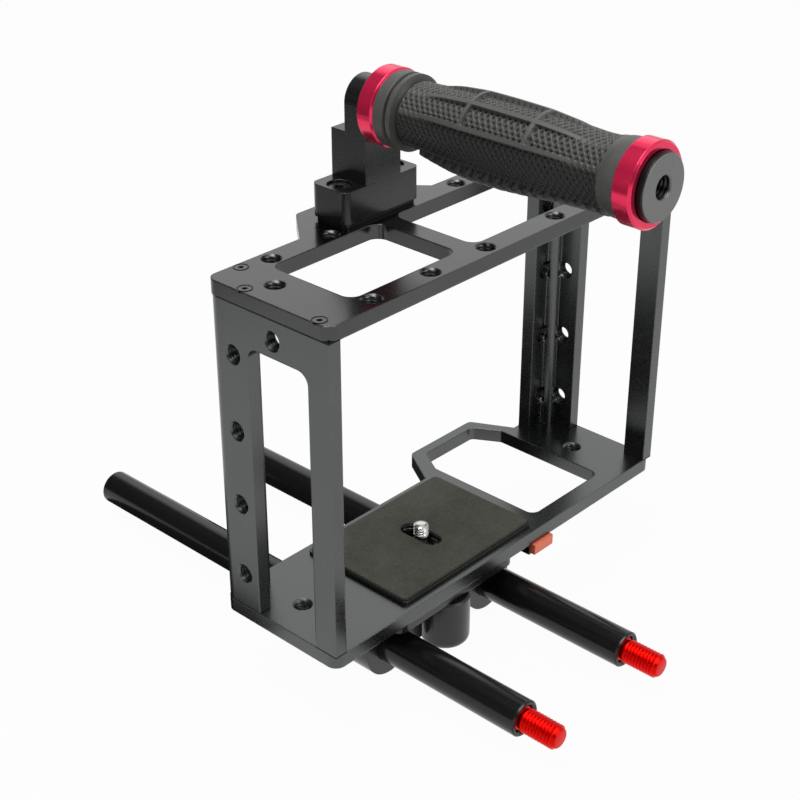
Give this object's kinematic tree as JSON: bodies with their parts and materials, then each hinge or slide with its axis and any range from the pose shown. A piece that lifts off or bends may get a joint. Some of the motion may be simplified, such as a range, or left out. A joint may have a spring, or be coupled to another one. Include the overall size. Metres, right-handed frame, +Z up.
{
  "type": "camera cage",
  "caption": "Camera cage of bolted black plates with threaded holes, a rubber pad with its screw, support rods below and a rubber top handle with red rings.",
  "frame": {"origin": "middle of the cage's width and depth at the underside of the base plate", "axes": "+X to the right over the cage's width, +Y away from the handle's free end along rods and handle, +Z up"},
  "size_m": [0.2, 0.2626, 0.2339],
  "materials": {
    "cage_black": "satin black anodised",
    "top_black": "satin black anodised",
    "pad_rubber": "fine matte",
    "silver_steel": "turned",
    "black_steel": "black oxide",
    "clamp_black": "satin black anodised",
    "rod_black": "gloss black anodised",
    "stud_red": "red anodised",
    "ring_red": "crimson anodised",
    "latch_red": "orange red",
    "grip_rubber": "knurled matte",
    "bar_aluminium": "turned",
    "cap_grey": "satin grey anodised"
  },
  "bodies": {
    "cage": {"base_plate": "cage_black", "left_side_plate": "cage_black", "right_side_plate": "cage_black", "top_plate": "top_black", "top_screws": "black_steel", "base_screws": "black_steel", "pad_plate": "clamp_black", "camera_pad": "pad_rubber", "rod_clamp": "clamp_black", "clamp_pins": "silver_steel", "rod_set_screws": "black_steel", "latch_guide": "clamp_black", "guide_screws": "silver_steel", "latch_spring": "silver_steel", "handle_clamp": "clamp_black", "clamp_screws": "black_steel", "handle_post": "clamp_black", "post_screw": "silver_steel", "handle_bar": "bar_aluminium", "handle_bolt": "black_steel", "end_cap": "cap_grey"},
    "left_rod": {"rod_left": "rod_black"},
    "right_rod": {"rod_right": "rod_black"},
    "left_stud": {"stud_left": "stud_red"},
    "right_stud": {"stud_right": "stud_red"},
    "knob": {"clamp_knob": "clamp_black", "knob_stem": "silver_steel"},
    "latch": {"latch_slide": "clamp_black", "latch_cap": "latch_red"},
    "carriage": {"screw_carriage": "bar_aluminium"},
    "screw": {"camera_screw": "silver_steel"},
    "grip_set": {"grip": "grip_rubber", "ring_far": "ring_red", "ring_near": "ring_red", "ring_screws": "silver_steel"}
  },
  "joints": [
    {"name": "rod_left_slide", "type": "slide", "parent": "cage", "child": "left_rod", "axis": [0, 1, 0], "range_m": [-0.04, 0.04]},
    {"name": "rod_right_slide", "type": "slide", "parent": "cage", "child": "right_rod", "axis": [0, 1, 0], "range_m": [-0.04, 0.04]},
    {"name": "stud_left_turn", "type": "hinge", "parent": "left_rod", "child": "left_stud", "pos_m": [-0.0562, -0.086, -0.0179], "axis": [0, 1, 0], "continuous": true},
    {"name": "stud_right_turn", "type": "hinge", "parent": "right_rod", "child": "right_stud", "pos_m": [0.0038, -0.089, -0.0179], "axis": [0, 1, 0], "continuous": true},
    {"name": "knob_turn", "type": "hinge", "parent": "cage", "child": "knob", "pos_m": [-0.0262, -0.0196, -0.018], "axis": [0, 0, 1], "continuous": true},
    {"name": "latch_press", "type": "slide", "parent": "cage", "child": "latch", "axis": [0, 1, 0], "range_m": [0, 0.004], "stiffness_N_per_m": 300, "springref_m": -0.002, "deforming": ["latch_spring"]},
    {"name": "screw_slide", "type": "slide", "parent": "cage", "child": "carriage", "axis": [0, 1, 0], "range_m": [-0.0055, 0.0055]},
    {"name": "screw_turn", "type": "hinge", "parent": "carriage", "child": "screw", "pos_m": [-0.0195, 0, 0.006], "axis": [0, 0, 1], "continuous": true},
    {"name": "grip_turn", "type": "hinge", "parent": "cage", "child": "grip_set", "pos_m": [-0.0174, -0.04, 0.1868], "axis": [0, 1, 0], "continuous": true}
  ]
}
